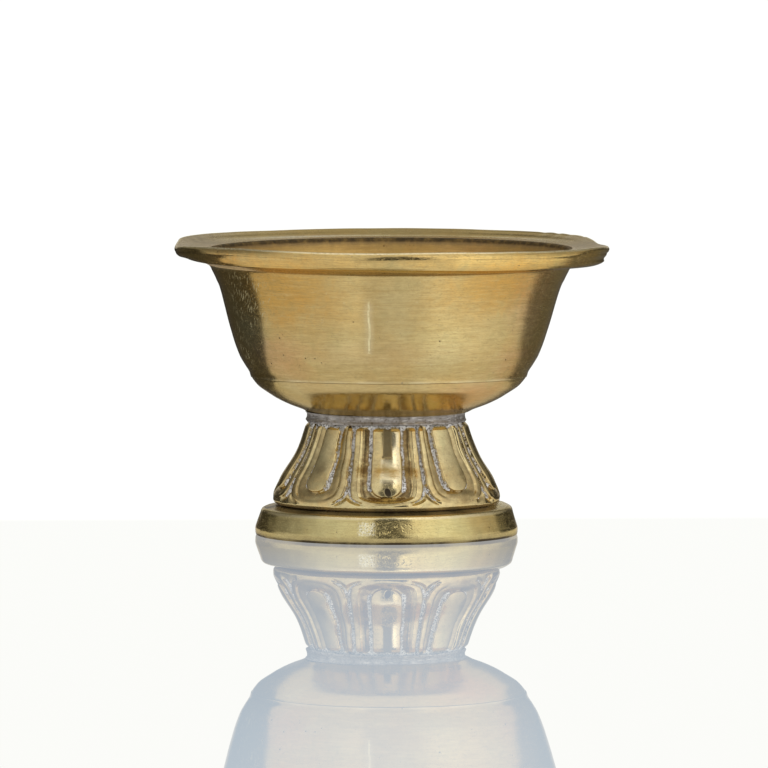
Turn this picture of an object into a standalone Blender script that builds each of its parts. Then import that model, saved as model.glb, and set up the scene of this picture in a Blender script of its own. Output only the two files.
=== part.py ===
"""A footed brass butter-lamp (diya) with a lotus foot, as the separate pieces it is made of.

Units are metres in Blender, +Z up. The origin is the centre of the ring that the lamp stands on,
and -Y is its front, where one lotus petal faces straight forward.

From the bench up:
  base_ring         turned foot moulding, whose spigot enters the lotus foot
  base_seam_solder  fillet inside the foot, where the spigot meets the shell
  lotus_foot        hollow flared casting with a closed top plate and chased petals
  neck_solder       fillet round the neck, between the foot and the bowl
  bowl_pan          lower pan of the bowl, with a turned rabbet round its top
  bowl_wall         flared wall of the bowl with its everted rim, which laps over the rabbet
  bowl_seam_braze   run of brazing metal inside the lap
  socket_rivet      centre rivet that clamps bowl to foot; its head is bored as the wick socket
  rivet_washer      burr under the top plate, over which the rivet is peened
  wick_stick        splint that stands in the socket
  cotton_wick       cotton wound round the splint
"""

import math

import bmesh
import bpy

MM = 0.001  # one millimetre in metres

# ---- driving dimensions, in millimetres ----
RIM_R = 68.35  # outermost radius of the rim
HEIGHT = 92.75  # top of the lip above the table
BASE_R = 41.3  # widest radius of the base ring
NECK_R = 23.95  # radius of the foot under the solder
FIT = 0.3  # clearance between neighbouring pieces

PLATE_TOP = 37.2  # top plate of the lotus foot, at the rivet
PLATE_UNDERSIDE = 35.0
WASHER_UNDERSIDE = 34.0
SHANK_R = 2.4
HOLE_R = SHANK_R + FIT  # hole for the rivet through the pan and the top plate
SOCKET_R = 1.35  # bore of the wick socket
SOCKET_FLOOR = 39.6
SOCKET_TOP = 46.4
SOCKET_CHAMFER = 0.5  # depth of the bevels at the mouth of the socket

STICK_R = 1.0  # at the foot of the splint
STICK_TOP_R = 0.8 * STICK_R
STICK_LENGTH = 40.2
COTTON_FOOT = 47.4
COTTON_TIP = 86.2

# ---- steps round each turned piece ----
BOWL_STEPS = 56
FOOT_STEPS = 108
RIVET_STEPS = 32
COTTON_STEPS = 24
STICK_SIDES = 16

# ---- chased petals: heights and depths in millimetres ----
PETALS = 9
PETAL_TOP = 35.9  # the chasing dies out under the neck
PETAL_TOP_FADE = 1.2  # height over which it does so
PETAL_LIP_FADE = (10.6, 11.8)  # heights between which it dies out above the lower lip
PETAL_BEND = 19.5  # petals have straight sides above this height
PETAL_END = 11.6  # and round off to an end here
PETAL_POWER = 2.4  # superellipse exponent of the round end
TONGUE_HEIGHT = 0.4
GROOVE_DROP = 1.3  # from the tongue into the inner groove
BORDER_RISE = 1.05  # from the inner groove up to the border
SHARED_GROOVE_DROP = 0.95  # from the border into the groove between petals
# where each of those slopes lies, from 0 on the petal's middle line to 1 at its outline
GROOVE_SLOPE = (0.30, 0.50)
BORDER_SLOPE = (0.50, 0.68)
SHARED_GROOVE_SLOPE = (0.84, 1.0)

MERGE_DISTANCE = 0.01  # millimetres, joins the seam of a turned piece
OUTLINE_TOLERANCE = 0.02  # millimetres, for finding vertices on the outer side of the foot
SHARP_ANGLE = math.radians(35.0)

# ---- outlines: (radius, height) in millimetres ----
# Unless noted, each runs down the outer side of its piece and back up the inner side.
BOWL_WALL = [
    # lip, slanting face of the rim, its underside
    (67.7, HEIGHT), (68.2, 92.5), (RIM_R, 91.6), (68.2, 90.4), (67.5, 89.0), (66.0, 87.4),
    (63.4, 86.2), (59.6, 85.4), (57.4, 84.5), (56.0, 83.0),
    # flared wall, proud lower edge
    (54.6, 80.2), (53.1, 76.3), (51.9, 71.9), (50.5, 66.5), (49.0, 61.7), (47.2, 57.0),
    (45.2, 53.3), (43.9, 51.3), (43.8, 50.2), (43.4, 49.9),
    # inner side: lap, wall, flared mouth
    (42.2, 49.95), (43.6, 53.5), (45.9, 58.9), (47.4, 63.9), (48.8, 69.2), (50.2, 74.8),
    (51.8, 79.8), (53.4, 84.0), (54.9, 87.4),
    # corner of the mouth, dished top of the rim
    (55.8, 89.3), (56.6, 89.9), (59.0, 90.3), (62.6, 90.9), (65.6, 91.7), (67.0, 92.4),
]  # fmt: skip

BOWL_PAN = [
    # spigot of the rabbet, shoulder
    (43.1, 53.2), (41.85, 50.0), (41.8, 49.55), (43.1, 49.55),
    # belly, seat on the foot
    (42.3, 48.6), (40.6, 47.2), (38.1, 45.2), (35.4, 43.3), (32.0, 41.5), (28.2, 40.1),
    (24.4, 39.1), (17.0, 38.2), (9.0, 37.6), (HOLE_R, PLATE_TOP + FIT),
    # inner side: floor of the bowl, up to the top of the spigot
    (HOLE_R, 39.4), (11.0, 39.7), (19.0, 40.5), (26.0, 42.1), (31.4, 44.3), (35.5, 46.9),
    (38.4, 49.6), (40.4, 52.4), (41.6, 54.0), (42.4, 54.2),
]  # fmt: skip

BOWL_SEAM_BRAZE = [(44.2, 56.1), (43.45, 54.45), (42.6, 54.5), (42.9, 55.0)]

LOTUS_OUTER = [
    # edge of the top plate, neck
    (NECK_R, 38.6), (24.0, 36.6), (24.4, 35.8), (25.0, 34.7),
    # flare with the petals
    (25.8, 32.2), (26.6, 29.9), (27.5, 27.7), (28.5, 25.6), (29.7, 23.5), (31.0, 21.5),
    (32.3, 19.6), (33.2, 18.1), (33.8, 16.8), (34.3, 15.8), (34.7, 14.9), (35.1, 14.0),
    # turned-in lower lip
    (35.4, 13.1), (35.6, 12.2), (35.6, 11.4), (34.9, 10.7), (33.6, 10.45),
]  # fmt: skip

LOTUS_INNER = [
    # mouth for the spigot, hollow shell
    (32.2, 10.6), (32.15, 14.0), (30.2, 17.8), (27.4, 22.4), (25.0, 26.8), (23.6, 31.0),
    (22.6, 34.2),
    # underside of the top plate, rivet hole, top of the plate
    (21.2, PLATE_UNDERSIDE), (HOLE_R, PLATE_UNDERSIDE), (HOLE_R, PLATE_TOP),
    (9.0, 37.3), (17.0, 37.9), (22.2, 38.45),
]  # fmt: skip

NECK_SOLDER = [
    (25.6, 38.9), (25.1, 38.1), (24.95, 37.2), (25.1, 36.5), (25.3, 36.0),
    (24.8, 36.0), (24.4, 36.8), (24.3, 38.7),
]  # fmt: skip

BASE_RING = [
    # spigot, cove under the petals, sloping top
    (31.8, 13.4), (31.85, 10.3), (34.2, 10.15), (34.9, 9.7), (37.2, 9.1), (39.1, 8.6),
    # face, lower bevel
    (39.6, 8.0), (39.9, 6.6), (40.5, 5.0), (41.1, 3.4), (BASE_R, 2.7), (41.2, 1.7),
    (40.9, 0.5), (40.3, 0.0),
    # flat that stands on the table, then the hollow underside
    (36.6, 0.0), (35.6, 1.2), (34.6, 4.2), (32.2, 6.8), (30.4, 8.6), (30.3, 13.4),
]  # fmt: skip

BASE_SEAM_SOLDER = [(31.75, 14.5), (31.8, 13.75), (30.75, 13.75), (30.9, 14.15)]

SOCKET_RIVET = [
    # up the blind bore to its mouth, then down the outer side: boss
    (0.0, SOCKET_FLOOR), (SOCKET_R, SOCKET_FLOOR), (SOCKET_R, SOCKET_TOP - SOCKET_CHAMFER),
    (1.75, SOCKET_TOP), (2.9, SOCKET_TOP), (3.3, SOCKET_TOP - SOCKET_CHAMFER), (3.5, 42.2),
    # flange on the floor of the bowl
    (4.4, 41.2), (6.6, 40.5), (6.9, 40.0), (6.6, 39.85),
    # shank, peened end
    (SHANK_R, 39.8), (SHANK_R, WASHER_UNDERSIDE - FIT), (4.5, 33.4), (4.2, 32.4), (2.6, 31.6),
    (0.0, 31.3),
]  # fmt: skip

RIVET_WASHER = [
    (6.8, PLATE_UNDERSIDE - FIT), (6.9, 34.4), (6.7, WASHER_UNDERSIDE),
    (2.75, WASHER_UNDERSIDE), (2.75, PLATE_UNDERSIDE - FIT),
]  # fmt: skip

COTTON_WICK = [
    # outer side from the tip down
    (0.0, COTTON_TIP), (0.75, COTTON_TIP - 0.5), (1.3, COTTON_TIP - 2.2), (1.9, 80.5),
    (2.5, 74.0), (2.9, 66.0), (2.85, 58.0), (2.4, 51.5), (1.8, COTTON_FOOT + 0.5),
    # up the hole round the splint to its blind end
    (1.35, COTTON_FOOT), (1.25, COTTON_FOOT + 0.3), (1.22, 80.3), (0.0, 81.1),
]  # fmt: skip


# ---- helpers ----
def clear_scene():
    for obj in list(bpy.data.objects):
        bpy.data.objects.remove(obj, do_unlink=True)


def make_finish(name, colour, metallic, roughness):
    finish = bpy.data.materials.new(name)
    finish.use_nodes = True
    shader = finish.node_tree.nodes["Principled BSDF"]
    shader.inputs["Base Color"].default_value = (*colour, 1.0)
    shader.inputs["Metallic"].default_value = metallic
    shader.inputs["Roughness"].default_value = roughness
    finish.diffuse_color = (*colour, 1.0)
    return finish


def make_empty(name, group, parent=None, height=0.0):
    empty = bpy.data.objects.new(name, None)
    empty.location.z = height * MM
    empty.parent = parent
    group.objects.link(empty)
    return empty


def parent_in_place(obj, parent):
    obj.parent = parent
    obj.matrix_parent_inverse = parent.matrix_world.inverted()


def shade_with_sharp_edges(mesh):
    mesh.shade_smooth()
    mesh.set_sharp_from_angle(angle=SHARP_ANGLE)


def outline_mesh(name, outline, closed):
    """The half outline of a turned piece, as edges at +X."""
    mesh = bpy.data.meshes.new(name)
    work = bmesh.new()
    verts = [work.verts.new((radius * MM, 0.0, z * MM)) for radius, z in outline]
    following = verts[1:] + verts[:1] if closed else verts[1:]
    for start, end in zip(verts, following):
        work.edges.new((start, end))
    work.to_mesh(mesh)
    work.free()
    return mesh


def turn(name, outline, steps, group, parent, finish):
    """A turned piece: its outline swept round Z, closed unless both its ends are on the axis."""
    closed = outline[0][0] > 0 or outline[-1][0] > 0
    mesh = outline_mesh(name, outline, closed)
    mesh.materials.append(finish)
    obj = bpy.data.objects.new(name, mesh)
    group.objects.link(obj)
    parent_in_place(obj, parent)
    screw = obj.modifiers.new("turn", "SCREW")
    screw.axis = "Z"
    screw.angle = math.tau
    screw.steps = screw.render_steps = steps
    screw.use_merge_vertices = True
    screw.merge_threshold = MERGE_DISTANCE * MM
    screw.use_smooth_shade = True
    return obj


# ---- lotus foot ----
def smooth_step(low, high, value):
    t = min(1.0, max(0.0, (value - low) / (high - low)))
    return t * t * (3.0 - 2.0 * t)


def petal_relief(angle, z):
    """Radial height of the chasing, at an angle in degrees from a petal's middle line.

    A petal is a raised tongue inside a groove, inside a rounded border, inside a second groove
    that it shares with its neighbours. All four follow one outline.
    """
    half_pitch = 180.0 / PETALS
    side = abs((angle + half_pitch) % (2 * half_pitch) - half_pitch) / half_pitch
    drop = max(0.0, (PETAL_BEND - z) / (PETAL_BEND - PETAL_END))
    outward = (side**PETAL_POWER + drop**PETAL_POWER) ** (1.0 / PETAL_POWER)
    relief = TONGUE_HEIGHT
    relief -= GROOVE_DROP * smooth_step(*GROOVE_SLOPE, outward)
    relief += BORDER_RISE * smooth_step(*BORDER_SLOPE, outward)
    relief -= SHARED_GROOVE_DROP * smooth_step(*SHARED_GROOVE_SLOPE, outward)
    top_fade = smooth_step(PETAL_TOP, PETAL_TOP - PETAL_TOP_FADE, z)
    return relief * top_fade * smooth_step(*PETAL_LIP_FADE, z)


def is_on_outline(radius, z, outline):
    return any(
        abs(radius - point_radius) < OUTLINE_TOLERANCE and abs(z - point_z) < OUTLINE_TOLERANCE
        for point_radius, point_z in outline
    )


def chase_petals(obj, outer_side):
    """Fixes the turned shape as a mesh and moves its outer side in and out to the petals."""
    graph = bpy.context.evaluated_depsgraph_get()
    mesh = bpy.data.meshes.new_from_object(obj.evaluated_get(graph))
    for vert in mesh.vertices:
        x, y, z = vert.co / MM
        radius = math.hypot(x, y)
        if not is_on_outline(radius, z, outer_side):
            continue
        angle = math.degrees(math.atan2(y, x)) + 90.0  # 0 at the front, -Y
        scale = (radius + petal_relief(angle, z)) / radius
        vert.co.x *= scale
        vert.co.y *= scale
    obj.modifiers.clear()
    obj.data = mesh
    shade_with_sharp_edges(mesh)


def make_lotus_foot(group, lamp, finish):
    foot = turn("lotus_foot", LOTUS_OUTER + LOTUS_INNER, FOOT_STEPS, group, lamp, finish)
    bpy.context.view_layer.update()
    chase_petals(foot, LOTUS_OUTER)


# ---- splint ----
def make_wick_stick(group, wick, finish):
    bpy.ops.mesh.primitive_cone_add(
        vertices=STICK_SIDES,
        radius1=STICK_R * MM,
        radius2=STICK_TOP_R * MM,
        depth=STICK_LENGTH * MM,
        location=(0.0, 0.0, (SOCKET_FLOOR + FIT + STICK_LENGTH / 2) * MM),
    )
    stick = bpy.context.object
    stick.name = stick.data.name = "wick_stick"
    for owner in list(stick.users_collection):
        owner.objects.unlink(stick)
    group.objects.link(stick)
    parent_in_place(stick, wick)
    stick.data.materials.append(finish)
    shade_with_sharp_edges(stick.data)


def main():
    clear_scene()
    group = bpy.data.collections.new("butter_lamp")
    bpy.context.scene.collection.children.link(group)

    brass = make_finish("brass", (0.62, 0.46, 0.20), metallic=1.0, roughness=0.24)
    chased = make_finish("chased_brass", (0.55, 0.42, 0.19), metallic=1.0, roughness=0.30)
    solder = make_finish("soft_solder", (0.40, 0.39, 0.42), metallic=1.0, roughness=0.45)
    braze = make_finish("brazing_metal", (0.58, 0.38, 0.20), metallic=1.0, roughness=0.40)
    bamboo = make_finish("bamboo", (0.55, 0.40, 0.22), metallic=0.0, roughness=0.65)
    cotton = make_finish("cotton", (0.82, 0.78, 0.68), metallic=0.0, roughness=0.90)

    lamp = make_empty("lamp", group)
    # the wick draws straight up out of the socket, along the lamp's axis
    wick = make_empty("wick", group, parent=lamp, height=SOCKET_FLOOR)
    bpy.context.view_layer.update()  # parent_in_place reads their world matrices

    for name, outline, steps, parent, finish in (
        ("bowl_wall", BOWL_WALL, BOWL_STEPS, lamp, brass),
        ("bowl_pan", BOWL_PAN, BOWL_STEPS, lamp, brass),
        ("bowl_seam_braze", BOWL_SEAM_BRAZE, BOWL_STEPS, lamp, braze),
        ("neck_solder", NECK_SOLDER, BOWL_STEPS, lamp, solder),
        ("base_ring", BASE_RING, BOWL_STEPS, lamp, brass),
        ("base_seam_solder", BASE_SEAM_SOLDER, BOWL_STEPS, lamp, solder),
        ("socket_rivet", SOCKET_RIVET, RIVET_STEPS, lamp, brass),
        ("rivet_washer", RIVET_WASHER, RIVET_STEPS, lamp, brass),
        ("cotton_wick", COTTON_WICK, COTTON_STEPS, wick, cotton),
    ):
        turn(name, outline, steps, group, parent, finish)
    make_lotus_foot(group, lamp, chased)
    make_wick_stick(group, wick, bamboo)


main()
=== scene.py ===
"""A footed brass butter lamp: a flared bowl on a foot chased with petals, with a cotton wick.

The scene is in metres, +Z up, standing on z = 0, and -Y is the front. Shapes are worked out in
millimetres. Bearings are in degrees round the piece: 0 faces -Y, 90 faces +X, the lamp's right.
"""

import math
from types import SimpleNamespace

import bpy
import numpy as np
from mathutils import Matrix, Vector


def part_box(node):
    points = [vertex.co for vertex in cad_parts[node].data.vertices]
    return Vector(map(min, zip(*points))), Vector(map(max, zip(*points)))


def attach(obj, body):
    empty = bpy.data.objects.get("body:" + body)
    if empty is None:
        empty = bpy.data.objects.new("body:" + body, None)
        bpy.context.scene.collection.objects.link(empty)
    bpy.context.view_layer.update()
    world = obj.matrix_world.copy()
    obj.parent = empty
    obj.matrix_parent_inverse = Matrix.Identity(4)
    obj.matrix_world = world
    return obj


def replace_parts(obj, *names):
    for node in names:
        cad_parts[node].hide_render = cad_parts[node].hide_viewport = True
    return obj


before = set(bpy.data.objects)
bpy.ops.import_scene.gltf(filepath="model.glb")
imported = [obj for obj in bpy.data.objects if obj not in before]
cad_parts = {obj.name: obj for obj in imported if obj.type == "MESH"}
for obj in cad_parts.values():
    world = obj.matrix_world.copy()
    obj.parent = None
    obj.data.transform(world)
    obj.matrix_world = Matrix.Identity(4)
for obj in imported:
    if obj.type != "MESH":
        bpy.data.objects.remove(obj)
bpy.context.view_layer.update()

MM = 0.001
DEGREES = 57.29578  # in a radian


# ==================================================================================================
# places, in millimetres
# ==================================================================================================
def top(part):
    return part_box(part)[1].z / MM


def bottom(part):
    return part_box(part)[0].z / MM


SOCKET_TOP = top("socket_rivet")
STICK_FOOT = bottom("wick_stick")
STICK_TIP = top("wick_stick")
COTTON_FOOT = bottom("cotton_wick")
COTTON_TIP = top("cotton_wick")

# the lamp was put together by hand: its bowl leans to the right of its foot
LEAN = 0.0127  # sideways per unit of height, for the textures
# (heights, how far each lies to the right)
FOOT_SHIFT = ([0.0, 12.0, 26.0, 36.0, 40.0], [0.0, 0.0, 0.14, 0.10, 0.10])
COLLAR_SHIFT = ([36.0, 39.0], [-0.22, -0.10])
BOWL_SHIFT = (
    [37.0, 44.0, 50.0, 61.0, 74.0, 82.0, 93.0],
    [0.40, 0.52, 0.72, 0.85, 1.05, 1.25, 1.30],
)


# ==================================================================================================
# geometry helpers
# ==================================================================================================
def smooth(low, high, value):
    """0 at low and 1 at high, eased at both ends. low may be the greater."""
    share = np.clip((value - low) / (high - low), 0.0, 1.0)
    return share * share * (3.0 - 2.0 * share)


def bell(value, centre, width):
    return np.exp(-(((value - centre) / width) ** 2))


def wrapped(phi):
    """Degrees brought into -180..180."""
    return (phi + 180.0) % 360.0 - 180.0


def weigh(first, second, start, end, at):
    """The value at a place between first, at start, and second, at end."""
    return (end - at) / (end - start) * first + (at - start) / (end - start) * second


def curve_through(points, step):
    """A centripetal Catmull-Rom curve, sampled about every step millimetres. Ends are kept."""
    points = np.array(points, float)
    if len(points) == 2:
        count = max(1, int(round(np.linalg.norm(points[1] - points[0]) / step)))
        share = np.linspace(0, 1, count + 1)[:, None]
        return points[0] + (points[1] - points[0]) * share
    extended = np.vstack([2 * points[0] - points[1], points, 2 * points[-1] - points[-2]])
    samples = [points[0]]
    for i in range(len(points) - 1):
        four = extended[i : i + 4]
        knots = [0.0]
        for start, end in zip(four, four[1:]):
            knots.append(knots[-1] + max(np.linalg.norm(end - start), 1e-6) ** 0.5)
        count = max(1, int(round(np.linalg.norm(four[2] - four[1]) / step)))
        for at in np.linspace(knots[1], knots[2], count + 1)[1:]:
            three = [weigh(*four[j : j + 2], knots[j], knots[j + 1], at) for j in range(3)]
            two = [weigh(*three[j : j + 2], knots[j], knots[j + 2], at) for j in range(2)]
            samples.append(weigh(*two, knots[1], knots[2], at))
    return np.array(samples)


def outline(start, *runs):
    """Smooth runs, each (step, points), from where the last ended. Runs meet at corners."""
    rows = [np.array([start], float)]
    for step, points in runs:
        rows.append(curve_through([start, *points], step)[1:])
        start = points[-1]
    return np.vstack(rows)


def loop(start, *runs):
    """An outline whose last point is its start, given once."""
    return outline(start, *runs)[:-1]


def lattice(name, rings, material, closed=True, sharp=40.0):
    """A mesh from rings of points, shape (rows, columns, 3) in millimetres.

    It is wound to face outward for an outline that runs down the outer side at +X. An outline that
    isn't closed starts and ends on the axis, where its rows shrink to single points.
    """
    poles = rings[[0, -1]].mean(1)
    if not closed:
        rings = rings[1:-1]
    rows, columns = rings.shape[:2]
    count = rows * columns
    verts = rings.reshape(-1, 3)
    column = np.arange(columns)
    following = (column + 1) % columns
    this_row = np.arange(rows if closed else rows - 1)[:, None] * columns
    next_row = (this_row + columns) % count
    corners = (this_row + column, next_row + column, next_row + following, this_row + following)
    faces = np.stack(corners, axis=-1).reshape(-1, 4).tolist()
    if not closed:
        verts = np.vstack([verts, poles])
        last_row = count - columns
        first_cap = (np.full(columns, count), column, following)
        last_cap = (np.full(columns, count + 1), last_row + following, last_row + column)
        for cap in (first_cap, last_cap):
            faces += np.stack(cap, axis=-1).tolist()
    mesh = bpy.data.meshes.new(name)
    mesh.from_pydata((verts * MM).tolist(), [], faces)
    mesh.update()
    mesh.shade_smooth()
    mesh.set_sharp_from_angle(angle=math.radians(sharp))
    mesh.materials.append(material)
    obj = bpy.data.objects.new(name, mesh)
    bpy.context.scene.collection.objects.link(obj)
    return obj


def spin(profile, columns):
    """The outline swept round +Z: bearing, radius and z, each of shape (rows, columns)."""
    phi = np.linspace(0.0, 360.0, columns, endpoint=False) + np.zeros((len(profile), 1))
    return phi, profile[:, :1] + 0 * phi, profile[:, 1:] + 0 * phi


def to_points(phi, radius, z, shift=BOWL_SHIFT):
    angle = np.radians(phi)
    x = radius * np.sin(angle) + np.interp(z, *shift)
    return np.stack([x, -radius * np.cos(angle), z], axis=-1)


def add_layer(obj, name, values):
    """A point attribute from values of shape (rows, columns), or (rows, 1) for whole rings."""
    count = len(obj.data.vertices)
    rows = len(values)
    columns = count // rows
    flat = np.zeros(count, np.float32)
    flat[: rows * columns] = np.broadcast_to(values, (rows, columns)).ravel()
    obj.data.attributes.new(name, "FLOAT", "POINT").data.foreach_set("value", flat)


def ripple(phi, z, seed, waves, size, z_scale=1.0):
    """Smooth hand-made unevenness: a few random waves round the piece and along it."""
    rng = np.random.default_rng(seed)
    total = 0.0
    for _ in range(waves):
        k = rng.integers(1, 11)
        total = total + rng.normal() * np.sin(
            np.radians(k * phi) + z * rng.normal() / z_scale + rng.uniform(0, 6.28)
        )
    return total * size / math.sqrt(waves)


def hand_over(obj, part, rides="lamp"):
    """Puts the mesh in the place of a CAD part."""
    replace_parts(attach(obj, rides), part)


# ==================================================================================================
# node helpers
# ==================================================================================================
def plug(tree, socket, value):
    """Links a wire, or sets a number, vector or colour. A colour may leave out its alpha."""
    if isinstance(value, Wire):
        tree.links.new(value.socket, socket)
        return
    if hasattr(value, "__len__") and len(value) == 3 and len(socket.default_value) == 4:
        value = (*value, 1.0)
    socket.default_value = value


def add_node(tree, kind, inputs=None, **settings):
    """A node, its inputs given by name or index."""
    column, row = len(tree.nodes) % 12, len(tree.nodes) // 12
    node = tree.nodes.new(kind)
    node.location = (220 * column, -240 * row)
    for key, value in settings.items():
        setattr(node, key, value)
    for key, value in (inputs or {}).items():
        plug(tree, node.inputs[key], value)
    return node


def wire(tree, kind, inputs=None, output=0, **settings):
    """One output of a new node."""
    return Wire(tree, add_node(tree, kind, inputs, **settings).outputs[output])


def calculate(tree, operation, *values, clamp=False):
    inputs = dict(enumerate(values))
    return wire(tree, "ShaderNodeMath", inputs, operation=operation, use_clamp=clamp)


class Wire:
    """A node's output. Arithmetic on it adds math nodes; the other value may be a number."""

    def __init__(self, tree, socket):
        self.tree = tree
        self.socket = socket

    def math(self, operation, *others, clamp=False):
        return calculate(self.tree, operation, self, *others, clamp=clamp)

    def __add__(self, other):
        return self.math("ADD", other)

    def __radd__(self, other):
        return calculate(self.tree, "ADD", other, self)

    def __sub__(self, other):
        return self.math("SUBTRACT", other)

    def __rsub__(self, other):
        return calculate(self.tree, "SUBTRACT", other, self)

    def __mul__(self, other):
        return self.math("MULTIPLY", other)

    def __rmul__(self, other):
        return calculate(self.tree, "MULTIPLY", other, self)

    def __truediv__(self, other):
        return self.math("DIVIDE", other)

    def __abs__(self):
        return self.math("ABSOLUTE")

    def rise(self, low, high, start=0.0, end=1.0, kind="SMOOTHSTEP"):
        """Runs from start, where the value is low or less, to end, where it is high or more."""
        inputs = {
            "Value": self, "From Min": low, "From Max": high, "To Min": start, "To Max": end
        }
        return wire(self.tree, "ShaderNodeMapRange", inputs, interpolation_type=kind)

    def fall(self, low, high, end=0.0):
        return self.rise(low, high, start=1.0, end=end)

    def between(self, low, high, soft):
        """1 between low and high, falling to 0 over soft on both sides."""
        return self.rise(low - soft, low + soft) * self.fall(high - soft, high + soft)

    def curve(self, points):
        """A value read off a line through (input, output) points."""
        low, high = points[0][0], points[-1][0]
        highest = max(level for _, level in points)
        share = self.rise(low, high, kind="LINEAR")
        ramp = add_node(self.tree, "ShaderNodeValToRGB", {0: share})
        ramp.color_ramp.interpolation = "LINEAR"
        stops = ramp.color_ramp.elements
        while len(stops) < len(points):
            stops.new(0.5)
        for stop, (at, _) in zip(stops, points):
            stop.position = (at - low) / (high - low)
        for stop, (_, level) in zip(stops, points):
            stop.color = (level / highest, level / highest, level / highest, 1.0)
        return Wire(self.tree, ramp.outputs[0]) * highest

    def split(self):
        node = add_node(self.tree, "ShaderNodeSeparateXYZ", {0: self})
        return [Wire(self.tree, socket) for socket in node.outputs]

    def noise(self, scale, detail, rough, distortion=0.0):
        inputs = {
            "Vector": self, "Scale": scale, "Detail": detail,
            "Roughness": rough, "Distortion": distortion,
        }
        return wire(self.tree, "ShaderNodeTexNoise", inputs, "Fac")

    def cells(self, scale):
        """Distance to the middle of the nearest of many scattered cells."""
        inputs = {"Vector": self, "Scale": scale}
        return wire(self.tree, "ShaderNodeTexVoronoi", inputs, "Distance")

    def bump(self, distance):
        inputs = {"Height": self, "Distance": distance}
        return wire(self.tree, "ShaderNodeBump", inputs, "Normal")


def combine(x, y, z):
    return wire(x.tree, "ShaderNodeCombineXYZ", {0: x, 1: y, 2: z})


def mix(factor, below, above):
    inputs = {"Factor": factor, 6: below, 7: above}
    return wire(factor.tree, "ShaderNodeMix", inputs, 2, data_type="RGBA", clamp_factor=True)


def multiply(colour, tint):
    inputs = {"Factor": 1.0, 6: colour, 7: tint}
    return wire(
        colour.tree, "ShaderNodeMix", inputs, 2,
        data_type="RGBA", blend_type="MULTIPLY", clamp_factor=True,
    )


def attribute(tree, name):
    return wire(tree, "ShaderNodeAttribute", None, "Fac", attribute_name=name)


def millimetres(tree):
    """The shaded point in the piece's own space."""
    coords = wire(tree, "ShaderNodeTexCoord", None, "Object")
    return wire(tree, "ShaderNodeVectorMath", {0: coords, "Scale": 1000.0}, operation="SCALE")


class Place:
    """The shaded point round the leaning axis: its radius, height and direction from the axis."""

    def __init__(self, tree):
        self.point = millimetres(tree)
        x, y, self.z = self.point.split()
        x = x - self.z * LEAN
        self.radius = (x * x + y * y).math("SQRT")
        self.toward_x = x / self.radius.math("MAXIMUM", 0.01)
        self.toward_y = y / self.radius.math("MAXIMUM", 0.01)

    def swept(self, around, along):
        """A texture vector that goes round the piece on a circle of radius around."""
        return combine(self.toward_x * around, self.toward_y * around, along)

    def facing(self, bearing):
        """1 at a bearing, -1 opposite it."""
        angle = math.radians(bearing)
        return self.toward_x * math.sin(angle) - self.toward_y * math.cos(angle)

    def degrees_past(self, bearing):
        """Roughly, close to the bearing."""
        angle = math.radians(bearing)
        return (self.toward_x * math.cos(angle) + self.toward_y * math.sin(angle)) * DEGREES


def new_material(name):
    material = bpy.data.materials.new(name)
    material.use_nodes = True
    return material, material.node_tree


def paint(material, inputs):
    """Sets inputs of the material's surface shader."""
    tree = material.node_tree
    for name, value in inputs.items():
        plug(tree, tree.nodes["Principled BSDF"].inputs[name], value)
    return material


class Finish:
    """A surface built up layer on layer."""

    def __init__(self, colour, roughness, height):
        self.colour = colour
        self.roughness = roughness
        self.height = height
        self.metal = 1.0

    def cover(self, mask, colour, share=None, rough=None, dull=None):
        """Lays a colour, adds roughness and takes metal away, where mask is 1."""
        self.colour = mix(mask if share is None else mask * share, self.colour, colour)
        if rough is not None:
            self.roughness = self.roughness + mask * rough
        if dull is not None:
            self.metal = self.metal * (1.0 - mask * dull)

    def tint(self, mask, tint, share):
        self.cover(mask, multiply(self.colour, tint), share)


# ==================================================================================================
# brass
# ==================================================================================================
# turning lines: (scale round the piece, scale along its outline, detail, roughness)
TURNED_NOISE = {
    "fine": (3.2, 2.6, 4.0, 0.75),
    "broad": (0.9, 0.62, 3.0, 0.6),
    "hair": (11.0, 7.0, 3.0, 0.65),
    "level": (5.5, 1.25, 5.0, 0.72),
}
# tarnish, spots and where pits gather: (scale, detail, roughness, distortion)
PLAIN_NOISE = {
    "cloud": (0.055, 5.0, 0.62, 0.0),
    "stain": (0.13, 6.0, 0.7, 0.6),
    "mottle": (0.42, 6.0, 0.75, 0.0),
    "speck": (1.1, 4.0, 0.7, 0.0),
    "pit_gate": (0.23, 3.0, 0.6, 0.0),
}


def brass_noises(place, turned):
    noises = SimpleNamespace()
    for name, (around, along, detail, rough) in TURNED_NOISE.items():
        vector = place.swept(around, turned * along)
        setattr(noises, name, vector.noise(1.0, detail, rough))
    for name, values in PLAIN_NOISE.items():
        setattr(noises, name, place.point.noise(*values))
    return noises


def patch(place, wander, bearing, height, half_wide, half_tall):
    """1 in the middle of a soft-edged patch, 0 outside it. Sizes are degrees and millimetres."""
    facing = place.facing(bearing).math("MAXIMUM", -1.0).math("MINIMUM", 1.0)
    turn = facing.math("ARCCOSINE") * (DEGREES / half_wide)
    lift = (place.z - height) * (1.0 / half_tall)
    away = (turn * turn + lift * lift).math("SQRT")
    return (away + (wander - 0.5) * 1.1).fall(0.25, 1.15)


def scratches(vector, scale, thin=0.006):
    """Thin wandering lines: where a smooth noise crosses its middle value."""
    wander = vector.noise(scale, detail=1.0, rough=0.5)
    gate = vector.noise(scale * 2.3, detail=2.0, rough=0.5)
    return abs(wander - 0.5).fall(0.0, thin) * gate.rise(0.50, 0.60)


def pit_holes(place, gate):
    """Pits of two sizes, the small ones shallower."""
    large = place.point.cells(0.45).fall(0.09, 0.18) * gate.rise(0.58, 0.64)
    small = place.point.cells(1.3).fall(0.09, 0.20) * gate.rise(0.54, 0.62)
    return large.math("MAXIMUM", small * 0.6)


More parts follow.
